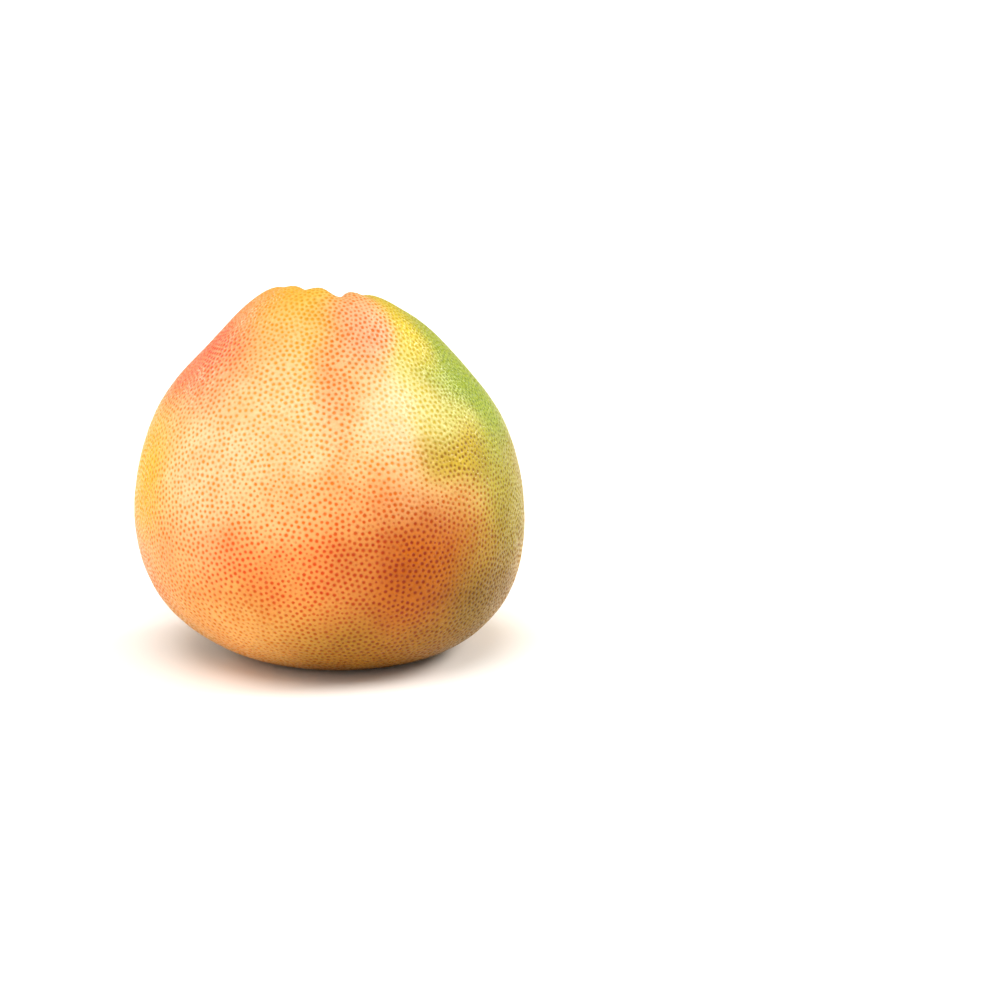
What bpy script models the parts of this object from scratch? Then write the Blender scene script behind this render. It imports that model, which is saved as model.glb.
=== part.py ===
"""A whole pomelo, standing on its blossom end.

Metres, +Z up through the stem end. The origin lies on the surface that the fruit stands on, under the
middle of its box, and its fuller, higher shoulder faces -Y. The fruit grew as one piece and is one
solid: a turned outline, leaned, puckered round the stem and pressed flat where it rests.
"""

import math

import bmesh
import bpy
import numpy as np

NAME = "pomelo"

# The outline, as radii and heights above the resting face.
BELLY_RADIUS = 0.0750
BELLY_HEIGHT = 0.0660
RIM_HEIGHT = 0.1415
RIM_RADIUS = 0.0130
SHOULDER_RADIUS = 0.0397
SHOULDER_DROP = 0.0170
CHEEK_RADIUS = 0.0613
CHEEK_HEIGHT = 0.1020
HIP_RADIUS = 0.0648
HIP_HEIGHT = 0.0175

# The dimple inside the rim, and the stem's dry scar on its floor.
DIMPLE_RADIUS = 0.0080
DIMPLE_DEPTH = 0.0055
SCAR_RADIUS = 0.0042
SCAR_HEIGHT = 0.0010

# The blossom end: a hollow inside the ring that the fruit rests on. The ring's skin is pressed flat
# where it would reach lower than the surface, by as much as the fruit settles.
FOOT_RADIUS = 0.0285
HOLLOW_RADIUS = 0.0120
HOLLOW_DEPTH = 0.0065
SETTLE = 0.0005

# How the fruit departs from a turned shape.
FOOT_LEAN = 0.0048
RIM_TILT = math.radians(15.0)
RIM_TILT_BEARING = math.radians(-112.0)
WAVES = (
    (2, 0.0009, math.radians(20.0)),
    (3, 0.0006, math.radians(75.0)),
    (5, 0.0003, math.radians(10.0)),
)

# Soft lobes round the shoulder, and swellings: bearing, height, size, half width and half height.
LOBES = 5
LOBE_SIZE = 0.0006
LOBE_BEARING = math.radians(-56.0)
SWELLINGS = (
    (math.radians(-5.0), 0.1310, 0.0054, 0.042, 0.020),
    (math.radians(140.0), 0.0950, 0.0012, 0.040, 0.030),
    (math.radians(-165.0), 0.1270, 0.0013, 0.030, 0.017),
)

# Puckers that run out over the rim from the stem: bearing, depth at the rim, half width and length.
PUCKERS = (
    (math.radians(-114.0), 0.0022, 0.0030, 0.016),
    (math.radians(-75.0), 0.0048, 0.0032, 0.016),
    (math.radians(-40.0), 0.0018, 0.0032, 0.018),
    (math.radians(2.0), 0.0016, 0.0034, 0.020),
    (math.radians(47.0), 0.0024, 0.0034, 0.016),
    (math.radians(92.0), 0.0014, 0.0030, 0.022),
    (math.radians(133.0), 0.0026, 0.0036, 0.018),
    (math.radians(178.0), 0.0013, 0.0032, 0.024),
    (math.radians(212.0), 0.0022, 0.0030, 0.015),
)

# How finely the surface is cut: facets round the fruit, their height as a share of the radius there,
# the least height, and the points worked out along each stretch of the outline.
SEGMENTS = 80
FACET_SHARE = 0.120
LEAST_FACET = 0.0018
POINTS_PER_STRETCH = 40

PEEL_COLOUR = (0.93, 0.58, 0.22, 1.0)
PEEL_ROUGHNESS = 0.42


def outline_points():
    """The turned outline from the stem's scar down to the blossom end, as radius and height."""
    floor = RIM_HEIGHT - DIMPLE_DEPTH
    return [
        (0.0, floor + SCAR_HEIGHT),
        (SCAR_RADIUS, floor + 0.5 * SCAR_HEIGHT),
        (DIMPLE_RADIUS, RIM_HEIGHT - 0.5 * DIMPLE_DEPTH),
        (RIM_RADIUS, RIM_HEIGHT),
        (SHOULDER_RADIUS, RIM_HEIGHT - SHOULDER_DROP),
        (CHEEK_RADIUS, CHEEK_HEIGHT),
        (BELLY_RADIUS, BELLY_HEIGHT),
        (HIP_RADIUS, HIP_HEIGHT),
        (FOOT_RADIUS, -SETTLE),
        (HOLLOW_RADIUS, 0.5 * HOLLOW_DEPTH),
        (0.0, HOLLOW_DEPTH),
    ]


def spline_through(points):
    """The cubic spline through points whose ends lie on the axis, level where it meets the axis."""
    points = np.array(points)
    mirror = np.array((-1.0, 1.0))
    knots = np.vstack((points[1] * mirror, points, points[-2] * mirror))
    spans = np.linalg.norm(np.diff(knots, axis=0), axis=1)
    count = len(knots)
    system = np.eye(count)
    wanted = np.zeros((count, 2))
    slopes = np.diff(knots, axis=0) / spans[:, None]
    for i in range(1, count - 1):
        system[i, i - 1:i + 2] = spans[i - 1], 2.0 * (spans[i - 1] + spans[i]), spans[i]
        wanted[i] = 6.0 * (slopes[i] - slopes[i - 1])
    bends = np.linalg.solve(system, wanted)
    curve = []
    for i in range(1, count - 2):
        for step in range(POINTS_PER_STRETCH):
            along = step / POINTS_PER_STRETCH
            back = 1.0 - along
            straight = back * knots[i] + along * knots[i + 1]
            bow = (back**3 - back) * bends[i] + (along**3 - along) * bends[i + 1]
            curve.append(straight + bow * spans[i] ** 2 / 6.0)
    curve.append(points[-1])
    return np.array(curve)


def ring_places(curve):
    """Places along the curve for the rings, spaced to keep the facets about as tall as they are wide."""
    steps = np.linalg.norm(np.diff(curve, axis=0), axis=1)
    radii = 0.5 * (curve[1:, 0] + curve[:-1, 0])
    facets = np.append(0.0, np.cumsum(steps / np.maximum(FACET_SHARE * radii, LEAST_FACET)))
    wanted = np.linspace(0.0, facets[-1], round(facets[-1]) + 1)
    radii = np.interp(wanted, facets, curve[:, 0])
    heights = np.interp(wanted, facets, curve[:, 1])
    return list(zip(radii, heights))


def fade(value, start, end):
    """1 up to start and 0 from end on, with a smooth slope between them."""
    share = min(max((value - start) / (end - start), 0.0), 1.0)
    return 1.0 - share * share * (3.0 - 2.0 * share)


def pucker_depth(bearing, radius):
    """How far the puckers draw the skin in at this bearing and radius."""
    depth = 0.0
    for middle, deepest, half_width, length in PUCKERS:
        turn = math.remainder(bearing - middle, math.tau)
        across = radius * turn / half_width
        along = fade(radius, RIM_RADIUS, RIM_RADIUS + length) * (1.0 - fade(radius, 0.0, RIM_RADIUS))
        depth += deepest * along * math.exp(-across * across)
    return depth


def swelling(bearing, radius, height):
    """How far the shoulder's lobes and the single swellings push the skin out here."""
    crest = RIM_HEIGHT - SHOULDER_DROP
    rise = (height - crest) / SHOULDER_DROP
    swell = LOBE_SIZE * math.cos(LOBES * (bearing - LOBE_BEARING)) * math.exp(-rise * rise)
    for middle, level, size, half_width, half_height in SWELLINGS:
        across = radius * math.remainder(bearing - middle, math.tau) / half_width
        up = (height - level) / half_height
        swell += size * math.exp(-across * across - up * up)
    return swell * (1.0 - fade(radius, DIMPLE_RADIUS, SHOULDER_RADIUS))


def grown(radius, height, bearing):
    """The place of an outline point at a bearing, once the fruit's own irregularities are added."""
    belly = math.sin(math.pi * min(max(height / RIM_HEIGHT, 0.0), 1.0))
    wave = sum(size * math.cos(count * (bearing - start)) for count, size, start in WAVES)
    spread = radius + wave * belly * radius / BELLY_RADIUS + swelling(bearing, radius, height)
    x = spread * math.cos(bearing)
    y = spread * math.sin(bearing)
    upper = max((height - BELLY_HEIGHT) / (RIM_HEIGHT - BELLY_HEIGHT), 0.0)
    lower = max(1.0 - height / BELLY_HEIGHT, 0.0)
    towards = spread * math.cos(bearing - RIM_TILT_BEARING)
    z = height + math.tan(RIM_TILT) * towards * upper * upper - upper * pucker_depth(bearing, radius)
    return x + FOOT_LEAN * lower * lower, y, max(z, 0.0)


def make_fruit(collection):
    """A sphere's rings laid along the outline, then centred over the origin."""
    outline = ring_places(spline_through(outline_points()))
    rings = len(outline) - 1
    mesh = bpy.data.meshes.new(NAME)
    shape = bmesh.new()
    bmesh.ops.create_uvsphere(shape, u_segments=SEGMENTS, v_segments=rings, radius=1.0)
    for vertex in shape.verts:
        ring = round(math.acos(min(max(vertex.co.z, -1.0), 1.0)) * rings / math.pi)
        bearing = math.atan2(vertex.co.y, vertex.co.x)
        radius, height = outline[ring]
        vertex.co = grown(radius, height, bearing)
    for axis in range(2):
        places = [vertex.co[axis] for vertex in shape.verts]
        middle = 0.5 * (min(places) + max(places))
        for vertex in shape.verts:
            vertex.co[axis] -= middle
    shape.to_mesh(mesh)
    shape.free()
    mesh.shade_smooth()
    fruit = bpy.data.objects.new(NAME, mesh)
    collection.objects.link(fruit)
    return fruit


def peel_material():
    material = bpy.data.materials.new("peel")
    material.use_nodes = True
    shader = material.node_tree.nodes["Principled BSDF"]
    shader.inputs["Base Color"].default_value = PEEL_COLOUR
    shader.inputs["Roughness"].default_value = PEEL_ROUGHNESS
    shader.inputs["Metallic"].default_value = 0.0
    return material


def main():
    for old in list(bpy.data.objects):
        bpy.data.objects.remove(old, do_unlink=True)
    collection = bpy.data.collections.new(NAME)
    bpy.context.scene.collection.children.link(collection)
    fruit = make_fruit(collection)
    fruit.data.materials.append(peel_material())


main()
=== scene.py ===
"""The looks of a whole pomelo: its dotted skin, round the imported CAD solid.

Metres, +Z up, the fruit standing on z = 0 with its fuller shoulder towards -Y. The skin is one fine mesh
with a cell for each oil gland: a fan of triangles over the gland's pit and, round the pit of a large
gland, a ring of plain skin.
"""
import math

import bmesh
import bpy
import numpy as np
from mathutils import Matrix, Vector, geometry, kdtree, noise
from mathutils.bvhtree import BVHTree


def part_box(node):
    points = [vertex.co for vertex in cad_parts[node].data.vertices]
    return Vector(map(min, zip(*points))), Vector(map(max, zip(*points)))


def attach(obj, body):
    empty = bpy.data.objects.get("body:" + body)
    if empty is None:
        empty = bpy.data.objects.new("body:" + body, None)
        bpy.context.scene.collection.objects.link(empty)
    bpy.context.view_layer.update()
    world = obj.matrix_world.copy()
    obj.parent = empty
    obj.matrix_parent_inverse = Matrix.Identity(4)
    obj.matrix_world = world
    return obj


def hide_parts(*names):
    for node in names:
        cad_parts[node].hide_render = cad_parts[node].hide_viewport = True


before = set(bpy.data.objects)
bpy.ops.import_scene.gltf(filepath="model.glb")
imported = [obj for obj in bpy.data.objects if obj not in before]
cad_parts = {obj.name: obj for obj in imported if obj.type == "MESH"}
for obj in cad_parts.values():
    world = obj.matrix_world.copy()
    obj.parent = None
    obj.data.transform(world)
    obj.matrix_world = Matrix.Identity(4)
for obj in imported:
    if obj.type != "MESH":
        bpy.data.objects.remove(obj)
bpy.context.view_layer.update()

HEIGHT = float(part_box("pomelo")[1][2])
MIDDLE = np.array((0.0, 0.0, 0.5 * HEIGHT))
UP = np.array((0.0, 0.0, 1.0))
SEED = 7

# How far the skin is rounded out from the CAD solid's facets, as a share of the full way, and how many
# rounds of evening out follow.
ROUNDING = 0.75
SMOOTHING_ROUNDS = 6

# Oil glands: how many there are, and the share of them that stay small.
GLANDS = 16000
SMALL_SHARE = 0.50

# How they spread: glands that lie nearer than the reach, in spacings, push each other apart.
SETTLING_ROUNDS = 16
NEIGHBOURS = 8
PUSH_REACH = 1.2
PUSH = 0.22

# Their spacing beside that on the fruit's side, and the distances over which it changes.
FINE_NEAR_STEM = 0.80
STEM_FINENESS_ENDS = (0.010, 0.055)
COARSE_NEAR_BASE = 1.08
BASE_COARSENESS_TOP = 0.035

# The pit over each gland: its depth, how deep a small gland's is beside a large one's, how far out its
# ring lies as a share of the cell, and how deep it still is there.
PIT_DEPTH = 0.00024
PIT_DEPTH_SPREAD = (0.75, 1.25)
SMALL_PIT = 0.6
PIT_RING = 0.58
RING_DEPTH_SHARE = 0.30

# The dot that shows a gland: its least and greatest radius, and how strong its colour is.
LARGE_DOT = (0.00068, 0.00086)
SMALL_DOT = (0.00050, 0.00072)
LARGE_DOT_STRENGTH = (0.85, 1.0)
SMALL_DOT_STRENGTH = (0.45, 0.95)

# The skin's slow unevenness: how wide its swells are, how high, and where in the noise each lies. It
# fades out towards the base, which rests flat.
SWELLS = (
    (0.011, 0.00018, (0.0, 0.0, 5.5)),
    (0.026, 0.00035, (9.0, 0.0, 0.0)),
)
EVEN_BASE_TOP = 0.012

# The share of each side of the map that its part of the fruit fills.
MAP_FILL = 0.955

# The camera stands where the fruit is seen a little from above and from its right.
CAMERA_LENS = 101.0
CAMERA_DISTANCE = 1.105
CAMERA_AZIMUTH = math.radians(3.6)
CAMERA_ELEVATION = math.radians(13.0)
FRUIT_LEFT_OF_VIEW = 0.0668
FRUIT_ABOVE_VIEW = 0.0153

# The studio: a pale floor, white surroundings with a brightness as a light and as the backdrop, and far,
# soft lights, with the bearing and elevation of each, how many degrees of the sky it fills and its strength.
FLOOR_RADIUS = 14.0
FLOOR_COLOUR = (0.95, 0.92, 0.87, 1.0)
FLOOR_ROUGHNESS = 0.75
SKY_LIGHT = 0.36
SKY_BACKDROP = 1.1
LIGHTS = (
    ("key", 4.0, 38.0, 26.0, 1.9),
    ("top", -110.0, 76.0, 50.0, 2.2),
    ("front", -125.0, 34.0, 70.0, 0.60),
    ("fill", 165.0, 34.0, 80.0, 0.80),
    ("right_edge", 42.0, 24.0, 15.0, 0.85),
    ("left_edge", 134.0, 22.0, 15.0, 0.40),
)


def srgb(red, green, blue):
    """A colour as the eye names it, 0 to 255, turned into the linear light that shaders take."""
    shares = np.array((red, green, blue)) / 255.0
    return np.where(shares <= 0.04045, shares / 12.92, ((shares + 0.055) / 1.055) ** 2.4)


def ramp(value, start, end):
    """0 up to start and 1 from end on, with a smooth slope between them."""
    share = np.clip((value - start) / (end - start), 0.0, 1.0)
    return share * share * (3.0 - 2.0 * share)


# ---------------------------------------------------------------- the surface under the skin

class Surface:
    """The CAD solid's surface, rounded between its facets, as somewhere to put points."""

    def __init__(self, cad_object):
        shape = bmesh.new()
        shape.from_mesh(cad_object.data)
        bmesh.ops.remove_doubles(shape, verts=shape.verts, dist=1e-6)
        bmesh.ops.triangulate(shape, faces=shape.faces)
        shape.normal_update()
        self.corners = np.array([vertex.co for vertex in shape.verts])
        self.normals = np.array([vertex.normal for vertex in shape.verts])
        self.faces = np.array([[vertex.index for vertex in face.verts] for face in shape.faces])
        shape.free()
        self.tree = BVHTree.FromPolygons(self.corners.tolist(), self.faces.tolist())
        self.stem = self.pole(self.corners[:, 2] > MIDDLE[2])
        self.blossom = self.pole(self.corners[:, 2] < MIDDLE[2])
        self.below = self.seen_from_middle([MIDDLE - UP])[0][0]

    def pole(self, among):
        """The corner where the solid's slim facets meet, in the middle of the dimple or of the hollow."""
        uses = np.bincount(self.faces.reshape(-1)) * among
        return self.corners[uses.argmax()]

    def areas(self):
        a, b, c = (self.corners[self.faces[:, i]] for i in range(3))
        return 0.5 * np.linalg.norm(np.cross(b - a, c - a), axis=1)

    def scattered(self, count, weights, random):
        """Random places on the facets, as many on each as its area and weight ask for."""
        share = self.areas() * weights
        chosen = random.choice(len(share), count, p=share / share.sum())
        u, v = random.random((2, count))
        over = u + v > 1.0
        u, v = np.where(over, 1.0 - u, u), np.where(over, 1.0 - v, v)
        a, b, c = (self.corners[self.faces[chosen, i]] for i in range(3))
        return a + u[:, None] * (b - a) + v[:, None] * (c - a)

    def nearest(self, places):
        return np.array([self.tree.find_nearest(Vector(place))[0] for place in places])

    def seen_from_middle(self, places):
        """Where rays from the fruit's middle through the places come out, and the skin's normals there."""
        middle = Vector(MIDDLE)
        hits = [self.tree.ray_cast(middle, Vector(place) - middle) for place in places]
        points = np.array([hit[0] for hit in hits])
        faces = self.faces[[hit[2] for hit in hits]]
        a, b, c = (self.corners[faces[:, i]] for i in range(3))
        whole = np.cross(b - a, c - a)
        size = (whole * whole).sum(1)
        share_b = (np.cross(points - a, c - a) * whole).sum(1) / size
        share_c = (np.cross(b - a, points - a) * whole).sum(1) / size
        shares = np.stack((1.0 - share_b - share_c, share_b, share_c), axis=1)
        normals = np.zeros_like(points)
        rounded = np.zeros_like(points)
        for i in range(3):
            corner = self.corners[faces[:, i]]
            normal = self.normals[faces[:, i]]
            share = shares[:, i:i + 1]
            off = ((points - corner) * normal).sum(1, keepdims=True)
            rounded += share * (points - off * normal)
            normals += share * normal
        normals /= np.linalg.norm(normals, axis=1, keepdims=True)
        return points + ROUNDING * (rounded - points), normals


# ---------------------------------------------------------------- glands and their cells

def relative_spacing(surface, places):
    """How far apart glands lie, beside those on the fruit's side: finer round the stem, coarser below."""
    from_stem = np.linalg.norm(places - surface.stem, axis=1)
    fine = FINE_NEAR_STEM + (1.0 - FINE_NEAR_STEM) * ramp(from_stem, *STEM_FINENESS_ENDS)
    return fine * (1.0 + (COARSE_NEAR_BASE - 1.0) * (1.0 - ramp(places[:, 2], 0.0, BASE_COARSENESS_TOP)))


def settled_glands(surface):
    """Gland centres: scattered, then pushed apart until they lie about evenly, but in no pattern."""
    random = np.random.default_rng(SEED)
    centres = surface.corners[surface.faces].mean(axis=1)
    weights = relative_spacing(surface, centres) ** -2
    spacing = math.sqrt((surface.areas() * weights).sum() / GLANDS * 2.0 / math.sqrt(3.0))
    points = surface.scattered(GLANDS, weights, random)
    for _ in range(SETTLING_ROUNDS):
        points[0] = surface.below
        tree = kdtree.KDTree(GLANDS)
        for i, point in enumerate(points):
            tree.insert(point, i)
        tree.balance()
        near = np.array([[found[1] for found in tree.find_n(point, NEIGHBOURS)] for point in points])
        away = points[:, None] - points[near]
        gap = np.maximum(np.linalg.norm(away, axis=2), 1e-7)
        reach = PUSH_REACH * spacing * relative_spacing(surface, points)[:, None]
        push = np.clip(reach - gap, 0.0, None) / gap
        points = surface.nearest(points + PUSH * (push[..., None] * away).sum(axis=1))
    points[0] = surface.below
    return points


def joined_glands(points):
    """Triangles between neighbouring glands, found on a flat map of directions from the middle.

    The first gland lies straight below the middle, where the map ends: it joins the map's outer edge.
    """
    directions = points - MIDDLE
    directions /= np.linalg.norm(directions, axis=1, keepdims=True)
    flat = directions[1:, :2] / (1.0 + directions[1:, 2:])
    found = geometry.delaunay_2d_cdt([Vector(place) for place in flat], [], [], 0, 1e-9)
    triangles = [[found[3][corner][0] + 1 for corner in face] for face in found[2]]
    sides = {(face[i], face[(i + 1) % 3]) for face in triangles for i in range(3)}
    triangles += [[b, a, 0] for a, b in sides if (b, a) not in sides]
    triangles = np.array(triangles)
    a, b, c = (points[triangles[:, i]] for i in range(3))
    inward = (np.cross(b - a, c - a) * (a - MIDDLE)).sum(axis=1) < 0.0
    triangles[inward] = triangles[inward][:, ::-1]
    return triangles


class Skin:
    """The fine mesh: per gland a centre, the corners it shares with others and, if large, a pit's ring."""

    def __init__(self, surface):
        glands = settled_glands(surface)
        triangles = joined_glands(glands)
        count, meetings = len(glands), len(triangles)
        corners = glands[triangles].mean(axis=1)
        ring = glands[triangles] + PIT_RING * (corners[:, None] - glands[triangles])
        rough = np.concatenate((glands, corners, ring.reshape(-1, 3)))
        self.places, self.normals = surface.seen_from_middle(rough)
        self.gland_count = count
        self.vertex_kind = np.repeat((0, 1, 2), (count, meetings, 3 * meetings))
        ring_index = count + meetings + np.arange(3 * meetings).reshape(-1, 3)

        self.large = self.roomy(surface, glands, triangles)
        side = {}
        for face in range(meetings):
            for i in range(3):
                side[triangles[face, i], triangles[face, (i + 1) % 3]] = face, i
        self.faces, self.owners = [], []
        for (gland, other), (face, i) in side.items():
            back_face, back_side = side[other, gland]
            inner = ring_index[face, i]
            back_inner = ring_index[back_face, (back_side + 1) % 3]
            if self.large[gland]:
                self.faces += [(gland, back_inner, inner),
                               (back_inner, count + back_face, count + face, inner)]
                self.owners += [gland, gland]
            else:
                self.faces.append((gland, count + back_face, count + face))
                self.owners.append(gland)
        self.drop_unused(np.concatenate((np.arange(count), np.full(meetings, -1), triangles.reshape(-1))))

    def roomy(self, surface, glands, triangles):
        """Which glands have the roomier cells, for their place on the fruit: those grow large."""
        a, b, c = (glands[triangles[:, i]] for i in range(3))
        thirds = np.linalg.norm(np.cross(b - a, c - a), axis=1) / 6.0
        room = np.bincount(triangles.reshape(-1), np.repeat(thirds, 3))
        room = room / relative_spacing(surface, glands) ** 2
        return room > np.quantile(room, SMALL_SHARE)

    def drop_unused(self, vertex_owners):
        """Leaves out the ring points of the small glands, which no face uses."""
        corners = np.concatenate(self.faces)
        used = np.zeros(len(self.places), bool)
        used[corners] = True
        order = np.cumsum(used) - 1
        self.faces = [order[list(face)].tolist() for face in self.faces]
        self.owners = np.array(self.owners)
        self.places, self.normals = self.places[used], self.normals[used]
        self.vertex_kind, self.vertex_owner = self.vertex_kind[used], vertex_owners[used]

    def smoothed(self, rounds):
        """Evens out what is left of the facets, moving each vertex towards the mean of its neighbours."""
        links = np.array([(face[i - 1], face[i]) for face in self.faces for i in range(len(face))])
        links = np.concatenate((links, links[:, ::-1]))
        total = np.bincount(links[:, 0], minlength=len(self.places))[:, None]
        for _ in range(rounds):
            sums = np.stack([np.bincount(links[:, 0], self.places[links[:, 1], axis], len(self.places))
                             for axis in range(3)], axis=1)
            drift = ((sums / total - self.places) * self.normals).sum(axis=1, keepdims=True)
            self.places = self.places + 0.5 * drift * self.normals


# ---------------------------------------------------------------- colours over the fruit

class Tone:
    """A colour of the skin: the ground between the glands, and the glands' dots."""

    def __init__(self, ground, dots):
        self.ground, self.dots = srgb(*ground), srgb(*dots)


# From the base up, as shares of the fruit's height. The low tones darken towards the base:
# partly the skin's own olive, partly painted shade under the fruit.
TONES_BY_HEIGHT = (
    (0.00, Tone((150, 112, 34), (124, 74, 4))),
    (0.14, Tone((194, 146, 52), (168, 86, 0))),
    (0.28, Tone((224, 148, 68), (206, 66, 0))),
    (0.38, Tone((232, 156, 82), (222, 66, 0))),
    (0.48, Tone((236, 184, 118), (232, 106, 0))),
    (0.60, Tone((234, 193, 136), (232, 134, 22))),
    (0.69, Tone((232, 192, 136), (230, 144, 46))),
    (0.79, Tone((226, 184, 126), (224, 142, 38))),
    (0.92, Tone((222, 176, 98), (220, 150, 12))),
    (1.00, Tone((218, 166, 64), (214, 146, 6))),
)


class Patch:
    """A soft patch of another tone: its bearing, its height, half its width and height, and how strong."""

    def __init__(self, bearing, height, wide, tall, strength, tone):
        self.bearing, self.height = math.radians(bearing), height
        self.wide, self.tall, self.strength, self.tone = wide, tall, strength, tone

    def share(self, bearings, radii, heights):
        turn = (bearings - self.bearing + math.pi) % math.tau - math.pi
        across, up = radii * turn / self.wide, (heights - self.height) / self.tall
        return self.strength * np.exp(-(across * across + up * up) ** 1.5)


GREEN = Tone((140, 156, 0), (82, 112, 0))
PATCHES = (
    # The green side, and the yellow-green of the back.
    Patch(-12, 0.108, 0.047, 0.044, 0.97, GREEN),
    Patch(66, 0.080, 0.060, 0.060, 0.60, Tone((196, 180, 60), (166, 138, 10))),
    # Golden yellow above the green, and the pale shoulder beside it, whose paleness is partly the skin's
    # and partly a painted sheen where the key light's highlight falls.
    Patch(-42, 0.130, 0.012, 0.011, 0.75, Tone((214, 184, 40), (192, 152, 0))),
    Patch(-52, 0.107, 0.013, 0.022, 0.80, Tone((208, 196, 120), (194, 170, 50))),
    Patch(-38, 0.096, 0.012, 0.009, 0.60, Tone((196, 190, 96), (176, 152, 40))),
    Patch(-64, 0.104, 0.010, 0.018, 0.70, Tone((220, 200, 156), (216, 174, 100))),
    Patch(-66, 0.133, 0.011, 0.013, 0.85, Tone((216, 166, 130), (212, 86, 16))),
    # Strong dots below the deepest pucker, and the orange below them.
    Patch(-82, 0.118, 0.010, 0.022, 0.75, Tone((218, 158, 102), (214, 90, 0))),
    Patch(-80, 0.062, 0.016, 0.028, 0.50, Tone((230, 158, 78), (218, 66, 0))),
    # Browner, darker skin low on the right, and the olive above and beyond it: partly the skin's own brown
    # and olive, partly painted shade that darkens the lower right.
    Patch(-60, 0.047, 0.029, 0.031, 0.94, Tone((182, 88, 0), (132, 36, 0))),
    Patch(-42, 0.086, 0.018, 0.009, 0.85, Tone((190, 154, 24), (118, 74, 0))),
    Patch(-18, 0.058, 0.034, 0.030, 0.90, Tone((152, 140, 8), (100, 84, 0))),
    Patch(-32, 0.026, 0.034, 0.028, 0.92, Tone((124, 92, 4), (86, 54, 0))),
    Patch(-74, 0.012, 0.036, 0.018, 0.75, Tone((150, 98, 8), (118, 52, 0))),
    Patch(24, 0.050, 0.040, 0.040, 0.80, Tone((166, 144, 26), (124, 90, 0))),
    # The paler, pinker left of the front.
    Patch(-131, 0.086, 0.022, 0.040, 0.70, Tone((238, 196, 144), (236, 136, 46))),
    Patch(-144, 0.046, 0.020, 0.024, 0.80, Tone((240, 170, 100), (236, 116, 30))),
    Patch(-126, 0.020, 0.030, 0.020, 0.80, Tone((236, 174, 96), (222, 122, 24))),
    # The red blush on the left shoulder, and the yellow below it.
    Patch(-161, 0.119, 0.030, 0.023, 0.95, Tone((240, 120, 56), (234, 0, 0))),
    Patch(-162, 0.076, 0.026, 0.026, 0.92, Tone((234, 174, 24), (232, 140, 0))),
    Patch(140, 0.095, 0.045, 0.030, 0.60, Tone((238, 154, 80), (232, 88, 4))),
)
SCAR = Tone((150, 128, 82), (118, 92, 54))
SCAR_REACH = 0.0052
SCAR_DARK = (0.085, 0.045, 0.020, 1.0)
SCAR_SPOKES = 9.0
STYLE_REACH = 0.0026

# As shares of a scar's reach: where its colour fades out, and where the pits round it fade in.
SCAR_EDGE = (0.80, 1.15)
PITS_START = (0.90, 1.40)

# How far the patches' outlines wander to the side and up or down, and how wide those swings are. Near
# the axis, radii count as no less than these when bearings are turned into widths and back.
OUTLINE_SWING = 0.018
SIDEWAYS_WANDER = 0.006
UPWARD_WANDER = 0.005
LEAST_RADIUS = 0.004
LEAST_SWING_RADIUS = 0.03


def wander(places, size, reach, offset):
    """Slow noise at each place, from about -reach to reach, whose swells are about size across."""
    return np.array([reach * noise.noise(Vector(place / size + offset)) for place in places])


def scars(surface):
    """The two dry scars: each one's centre and reach."""
    return (surface.stem, SCAR_REACH), (surface.blossom, STYLE_REACH)


def tones_at(places, surface):
    """The ground and dot colours at each place."""
    drift = wander(places, OUTLINE_SWING, SIDEWAYS_WANDER, (3.1, 0.0, 0.0))
    lift = wander(places, OUTLINE_SWING, UPWARD_WANDER, (0.0, 7.7, 0.0))
    radii = np.maximum(np.hypot(places[:, 0], places[:, 1]), LEAST_RADIUS)
    bearings = np.arctan2(places[:, 1], places[:, 0]) + drift / np.maximum(radii, LEAST_SWING_RADIUS)
    heights = places[:, 2] + lift
    steps = np.array([height for height, _ in TONES_BY_HEIGHT]) * HEIGHT
    tones = [tone for _, tone in TONES_BY_HEIGHT]
    colours = []
    for part in ("ground", "dots"):
        table = np.array([getattr(tone, part) for tone in tones])
        colour = np.stack([np.interp(heights, steps, table[:, i]) for i in range(3)], axis=1)
        for patch in PATCHES:
            share = patch.share(bearings, radii, heights)[:, None]
            colour = colour + share * (getattr(patch.tone, part) - colour)
        for centre, reach in scars(surface):
            off = np.linalg.norm(places - centre, axis=1)
            share = (1.0 - ramp(off, SCAR_EDGE[0] * reach, SCAR_EDGE[1] * reach))[:, None]
            colour = colour + share * (getattr(SCAR, part) - colour)
        colours.append(colour)
    return colours


# ---------------------------------------------------------------- from the skin to a mesh

def pressed_in(skin, surface, random):
    """Puts the pits over the glands, and the skin's slow unevenness, and keeps the base flat."""
    deep = PIT_DEPTH * random.uniform(*PIT_DEPTH_SPREAD, skin.gland_count)
    deep = deep * np.where(skin.large, 1.0, SMALL_PIT)
    for centre, reach in scars(surface):
        off = np.linalg.norm(skin.places[:skin.gland_count] - centre, axis=1)
        deep *= ramp(off, PITS_START[0] * reach, PITS_START[1] * reach)
    share = np.array((1.0, 0.0, RING_DEPTH_SHARE))[skin.vertex_kind]
    depth = share * deep[skin.vertex_owner]
    swell = sum(wander(skin.places, size, reach, offset) for size, reach, offset in SWELLS)
    standing = ramp(skin.places[:, 2], 0.0, EVEN_BASE_TOP)
    moved = skin.places + ((swell * standing - depth)[:, None]) * skin.normals
    moved[:, 2] = np.maximum(moved[:, 2], 0.0)
    return moved


def box_map(places, centres):
    """A map of the fruit on the six sides of a box, laid out three across and two up.

    Each place belongs to the side that its face's centre looks out of.
    """
    rows = np.arange(len(places))
    axis = np.abs(centres).argmax(axis=1)
    positive = centres[rows, axis] > 0.0
    main = np.abs(places[rows, axis])
    first = np.where(positive, 1.0, -1.0) * places[rows, (axis + 1) % 3] / main
    second = places[rows, (axis + 2) % 3] / main
    u, v = (np.arctan(value) / (0.5 * math.pi) * MAP_FILL + 0.5 for value in (first, second))
    return np.stack(((axis + u) / 3.0, (positive + v) / 2.0), axis=1)


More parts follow.
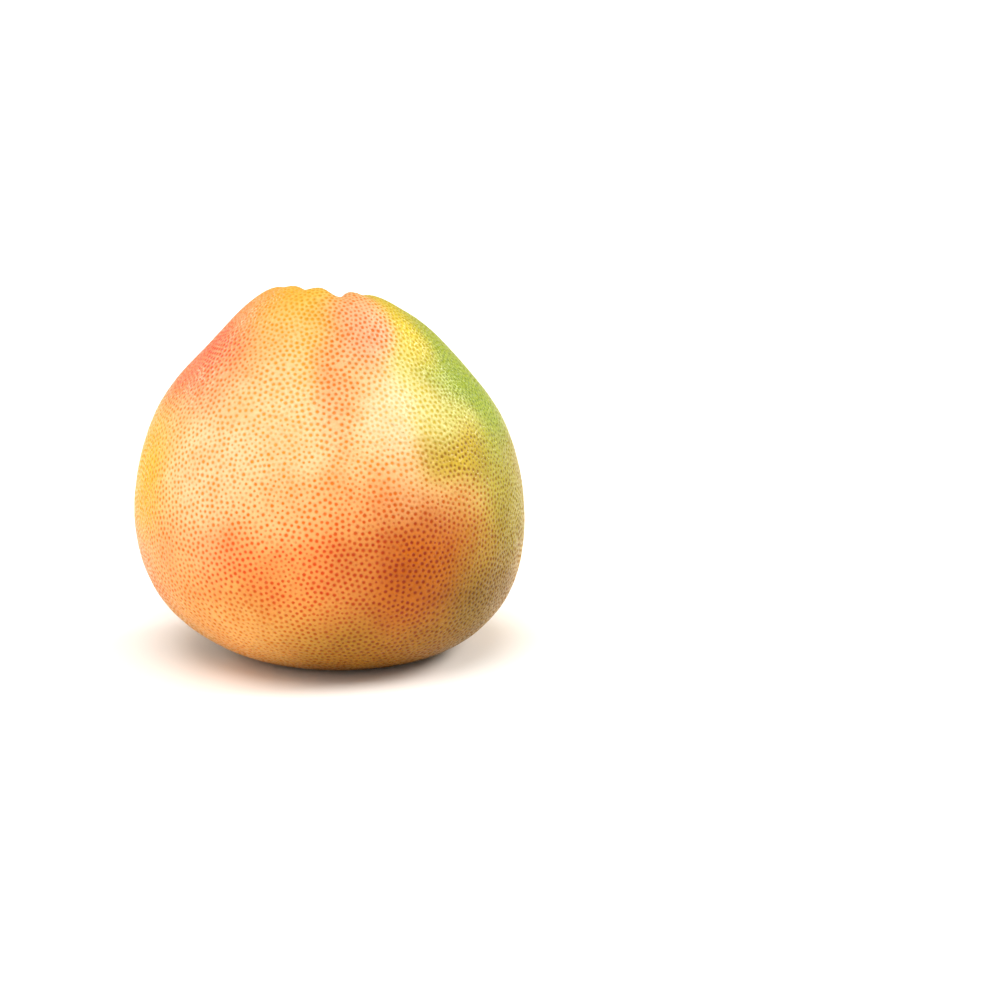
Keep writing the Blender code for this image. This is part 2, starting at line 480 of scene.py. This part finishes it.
def add_layer(mesh, name, kind, domain, values):
    """Stores values on the mesh, for the material to read."""
    layer = mesh.attributes.new(name, kind, domain)
    field = "color" if kind == "FLOAT_COLOR" else "vector"
    layer.data.foreach_set(field, np.ascontiguousarray(values, np.float32).reshape(-1))


def fruit_mesh(skin, surface):
    """The skin as a mesh, with its colours, its map, and where each corner lies from its gland."""
    random = np.random.default_rng(SEED + 1)
    places = pressed_in(skin, surface, random)
    mesh = bpy.data.meshes.new("pomelo_skin")
    mesh.from_pydata(places.tolist(), [], skin.faces)
    mesh.shade_smooth()

    opaque = np.ones((len(places), 1))
    ground, dots = tones_at(skin.places, surface)
    add_layer(mesh, "ground", "FLOAT_COLOR", "POINT", np.hstack((ground, opaque)))
    add_layer(mesh, "dots", "FLOAT_COLOR", "POINT", np.hstack((dots, opaque)))

    lengths = np.array([len(face) for face in skin.faces])
    corners = np.concatenate(skin.faces)
    owners = np.repeat(skin.owners, lengths)
    low, high = np.where(skin.large[:, None], LARGE_DOT, SMALL_DOT).T
    radius = random.uniform(low, high)
    off = (skin.places[corners] - skin.places[owners]) / radius[owners][:, None]
    add_layer(mesh, "from_gland", "FLOAT_VECTOR", "CORNER", off)

    vary = random.random((skin.gland_count, 4))
    strong = random.uniform(*LARGE_DOT_STRENGTH, len(vary))
    weak = random.uniform(*SMALL_DOT_STRENGTH, len(vary))
    vary[:, 0] = np.where(skin.large, strong, weak)
    add_layer(mesh, "gland_vary", "FLOAT_COLOR", "FACE", vary[skin.owners])

    from_middle = skin.places - MIDDLE
    starts = np.concatenate(((0,), np.cumsum(lengths)[:-1]))
    centres = np.add.reduceat(from_middle[corners], starts) / lengths[:, None]
    uv = mesh.uv_layers.new(name="OFBake")
    flat = box_map(from_middle[corners], np.repeat(centres, lengths, axis=0))
    uv.uv.foreach_set("vector", np.ascontiguousarray(flat, np.float32).reshape(-1))
    return mesh


# ---------------------------------------------------------------- the peel's material

# The range that most of a noise's values lie in.
NOISE_RANGE = (0.3, 0.7)

# How fine the peel's patterns are, in features a metre.
BLOTCHES = 70.0
GLOSS_PATCHES = 240.0
SPOKE_BENDS = 300.0
RIPPLES = 420.0
RING_BENDS = 500.0
GRAIN = 1100.0
FINE_GRAIN = 1500.0
DOT_OUTLINE = 1900.0

# A dot's core and its halo: where each starts to fade and where it ends, in dot radii, and its strength.
DOT_CORE = (0.38, 1.25, 0.80)
DOT_HALO = (0.60, 1.80, 0.20)
DOT_WOBBLE = 0.16

# Where the blotches and the grain start to show in their noise and are full, how strongly the blotches
# show, what the grain multiplies the ground by, and the gloss.
BLOTCH_RANGE = (0.38, 0.70)
GRAIN_RANGE = (0.35, 0.70)
BLOTCH_STRENGTH = 0.32
GRAIN_TINT = (1.10, 1.14, 1.30, 1.0)
ROUGHNESS = (0.25, 0.35)
ROUGHER_DOTS = 0.08

# The bump: the height of a pit, where its wall starts and ends, in dot radii, and how high the other
# patterns are beside it.
BUMP_HEIGHT = 0.00020
PIT_WALL = (0.1, 1.4)
RIPPLE_HEIGHT = 3.0
FINE_HEIGHT = 0.35
GROOVE_HEIGHT = 2.0

# The stem scar's grooves, as shares of its reach: where its spokes start and end, and where the ring
# round its edge rises and falls.
SPOKES_START = (0.22, 0.40)
SPOKES_END = (0.70, 0.80)
RING_RISE = (0.84, 0.96)
RING_FALL = (1.00, 1.16)
RING_WOBBLE = 0.0005
SPOKE_WOBBLE = 0.25
GROOVE_STRENGTH = 0.75


class Graph:
    """Adds nodes to a material and joins them up."""

    def __init__(self, name):
        self.material = bpy.data.materials.new(name)
        self.material.use_nodes = True
        self.tree = self.material.node_tree
        self.shader = self.tree.nodes["Principled BSDF"]

    def add(self, kind, settings=None, inputs=None):
        node = self.tree.nodes.new("ShaderNode" + kind)
        for name, value in (settings or {}).items():
            setattr(node, name, value)
        for name, value in (inputs or {}).items():
            self.put(node.inputs[name], value)
        return node

    def put(self, socket, value):
        if isinstance(value, bpy.types.NodeSocket):
            self.tree.links.new(value, socket)
        else:
            socket.default_value = value

    def attribute(self, name, output):
        return self.add("Attribute", {"attribute_name": name}).outputs[output]

    def math(self, operation, first, second=0.0, third=0.0):
        node = self.add("Math", {"operation": operation})
        for socket, value in zip(node.inputs, (first, second, third)):
            self.put(socket, value)
        return node.outputs[0]

    def length(self, vector):
        return self.add("VectorMath", {"operation": "LENGTH"}, {0: vector}).outputs["Value"]

    def spread(self, value, start, end, low, high, smooth=False):
        """Turns start to end into low to high, and holds it there on either side."""
        kind = "SMOOTHSTEP" if smooth else "LINEAR"
        node = self.add("MapRange", {"interpolation_type": kind})
        names = ("Value", "From Min", "From Max", "To Min", "To Max")
        for name, given in zip(names, (value, start, end, low, high)):
            self.put(node.inputs[name], given)
        return node.outputs[0]

    def noise(self, place, scale, detail=2.0, roughness=0.5):
        inputs = {"Vector": place, "Scale": scale, "Detail": detail, "Roughness": roughness}
        return self.add("TexNoise", None, inputs).outputs["Fac"]

    def mix(self, share, first, second, blend="MIX"):
        node = self.add("Mix", {"data_type": "RGBA", "blend_type": blend})
        self.put(node.inputs["Factor"], share)
        self.put(node.inputs[6], first)
        self.put(node.inputs[7], second)
        return node.outputs[2]


def scar_grooves(g, place, stem):
    """How deep the stem scar's grooves are at a place: a ring round its edge, and spokes inside that."""
    off = g.add("VectorMath", {"operation": "SUBTRACT"}, {0: place, 1: tuple(stem)}).outputs["Vector"]
    wobble = g.spread(g.noise(place, RING_BENDS), *NOISE_RANGE, -RING_WOBBLE, RING_WOBBLE)
    radius = g.math("ADD", g.length(off), wobble)
    sides = g.add("SeparateXYZ", None, {"Vector": off})
    turn = g.math("ARCTAN2", sides.outputs["Y"], sides.outputs["X"])
    wobble = g.spread(g.noise(place, SPOKE_BENDS), *NOISE_RANGE, -SPOKE_WOBBLE, SPOKE_WOBBLE)
    wave = g.math("SINE", g.math("MULTIPLY", g.math("ADD", turn, wobble), SCAR_SPOKES))
    spokes = g.spread(wave, -0.2, 0.9, 0.0, 1.0)

    def edge(ends, low, high, smooth=False):
        return g.spread(radius, ends[0] * SCAR_REACH, ends[1] * SCAR_REACH, low, high, smooth)

    spokes = g.math("MULTIPLY", spokes, edge(SPOKES_START, 0.0, 1.0))
    spokes = g.math("MULTIPLY", spokes, edge(SPOKES_END, 1.0, 0.0))
    ring = g.math("MULTIPLY", edge(RING_RISE, 0.0, 1.0, True), edge(RING_FALL, 1.0, 0.0, True))
    return g.math("MAXIMUM", spokes, ring)


def peel_material(stem):
    """Ground and dots, blotches and grain, uneven gloss, and a bump for the pits, grain and grooves."""
    g = Graph("peel")
    place = g.add("TexCoord").outputs["Object"]
    vary = g.add("SeparateColor", None, {"Color": g.attribute("gland_vary", "Color")})
    from_gland = g.length(g.attribute("from_gland", "Vector"))
    wobble = g.spread(g.noise(place, DOT_OUTLINE, 1.0), 0.0, 1.0, -DOT_WOBBLE, DOT_WOBBLE)
    distance = g.math("ADD", from_gland, wobble)
    core = g.spread(distance, *DOT_CORE, 0.0, smooth=True)
    halo = g.spread(distance, *DOT_HALO, 0.0, smooth=True)
    dot = g.math("MULTIPLY", g.math("ADD", core, halo), vary.outputs["Red"])

    ground = g.attribute("ground", "Color")
    blotches = g.spread(g.noise(place, BLOTCHES, 4.0, 0.6), *BLOTCH_RANGE, 0.0, BLOTCH_STRENGTH)
    ground = g.mix(blotches, ground, g.attribute("dots", "Color"))
    grain = g.spread(g.noise(place, GRAIN, 3.0, 0.6), *GRAIN_RANGE, 0.0, 1.0)
    ground = g.mix(grain, ground, GRAIN_TINT, "MULTIPLY")
    colour = g.mix(dot, ground, g.attribute("dots", "Color"))
    groove = scar_grooves(g, place, stem)
    colour = g.mix(g.math("MULTIPLY", groove, GROOVE_STRENGTH), colour, SCAR_DARK)
    g.put(g.shader.inputs["Base Color"], colour)

    rough = g.spread(g.noise(place, GLOSS_PATCHES, 3.0), *NOISE_RANGE, *ROUGHNESS)
    g.put(g.shader.inputs["Roughness"], g.math("ADD", rough, g.math("MULTIPLY", dot, ROUGHER_DOTS)))
    pit = g.spread(from_gland, *PIT_WALL, 0.0, 1.0, smooth=True)
    ripple = g.math("MULTIPLY", g.noise(place, RIPPLES, 1.0), RIPPLE_HEIGHT)
    fine = g.math("MULTIPLY", g.noise(place, FINE_GRAIN, 2.0), FINE_HEIGHT)
    height = g.math("ADD", g.math("ADD", pit, ripple), fine)
    height = g.math("SUBTRACT", height, g.math("MULTIPLY", groove, GROOVE_HEIGHT))
    bump = g.add("Bump", None, {"Strength": 1.0, "Distance": BUMP_HEIGHT, "Height": height})
    g.put(g.shader.inputs["Normal"], bump.outputs["Normal"])

    g.shader.inputs["Metallic"].default_value = 0.0
    g.shader.inputs["IOR"].default_value = 1.25
    g.shader.inputs["Subsurface Weight"].default_value = 0.05
    g.shader.inputs["Subsurface Radius"].default_value = (1.0, 0.35, 0.15)
    g.shader.inputs["Subsurface Scale"].default_value = 0.002
    return g.material


# ---------------------------------------------------------------- floor, light and camera

def plain_material(name, colour, roughness):
    material = bpy.data.materials.new(name)
    material.use_nodes = True
    shader = material.node_tree.nodes["Principled BSDF"]
    shader.inputs["Base Color"].default_value = colour
    shader.inputs["Roughness"].default_value = roughness
    return material


def make_floor():
    bpy.ops.mesh.primitive_circle_add(vertices=64, radius=FLOOR_RADIUS, fill_type="NGON")
    floor = bpy.context.object
    floor.name = "floor"
    floor.data.materials.append(plain_material("pale_floor", FLOOR_COLOUR, FLOOR_ROUGHNESS))


def make_light(name, bearing, elevation, width, strength):
    """A far, soft light: where it stands, how many degrees of the sky it fills, and its strength."""
    light = bpy.data.lights.new(name, "SUN")
    light.energy, light.angle = strength, math.radians(width)
    lamp = bpy.data.objects.new(name, light)
    lamp.rotation_euler = (0.0, math.radians(90.0 - elevation), math.radians(bearing))
    bpy.context.scene.collection.objects.link(lamp)


def make_world():
    """White all round as a backdrop, and dimmer as a light, so that the far lights model the fruit."""
    world = bpy.data.worlds.new("studio")
    world.use_nodes = True
    tree = world.node_tree
    background = tree.nodes["Background"]
    background.inputs["Color"].default_value = (1.0, 1.0, 1.0, 1.0)
    path = tree.nodes.new("ShaderNodeLightPath")
    strength = tree.nodes.new("ShaderNodeMapRange")
    strength.inputs["To Min"].default_value = SKY_LIGHT
    strength.inputs["To Max"].default_value = SKY_BACKDROP
    tree.links.new(path.outputs["Is Camera Ray"], strength.inputs["Value"])
    tree.links.new(strength.outputs["Result"], background.inputs["Strength"])
    bpy.context.scene.world = world


def make_camera():
    centre = Vector((0.0, 0.0, 0.5 * HEIGHT))
    level = math.cos(CAMERA_ELEVATION)
    sine, cosine = math.sin(CAMERA_AZIMUTH), math.cos(CAMERA_AZIMUTH)
    back = Vector((sine * level, -cosine * level, math.sin(CAMERA_ELEVATION)))
    across = Vector((cosine, sine, 0.0))
    up = back.cross(across)
    data = bpy.data.cameras.new("camera")
    data.lens = CAMERA_LENS
    data.clip_end = 50.0
    camera = bpy.data.objects.new("camera", data)
    camera.location = centre + CAMERA_DISTANCE * back
    aim = centre + FRUIT_LEFT_OF_VIEW * across - FRUIT_ABOVE_VIEW * up
    camera.rotation_euler = (aim - camera.location).to_track_quat("-Z", "Y").to_euler()
    bpy.context.scene.collection.objects.link(camera)
    bpy.context.scene.camera = camera


def make_studio():
    make_floor()
    make_world()
    for light in LIGHTS:
        make_light(*light)
    make_camera()
    bpy.context.scene.view_settings.view_transform = "Standard"


def main():
    surface = Surface(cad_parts["pomelo"])
    skin = Skin(surface)
    skin.smoothed(SMOOTHING_ROUNDS)
    fruit = bpy.data.objects.new("pomelo_fruit", fruit_mesh(skin, surface))
    bpy.context.scene.collection.objects.link(fruit)
    fruit.data.materials.append(peel_material(surface.stem))
    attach(fruit, "root")
    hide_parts("pomelo")
    make_studio()


main()
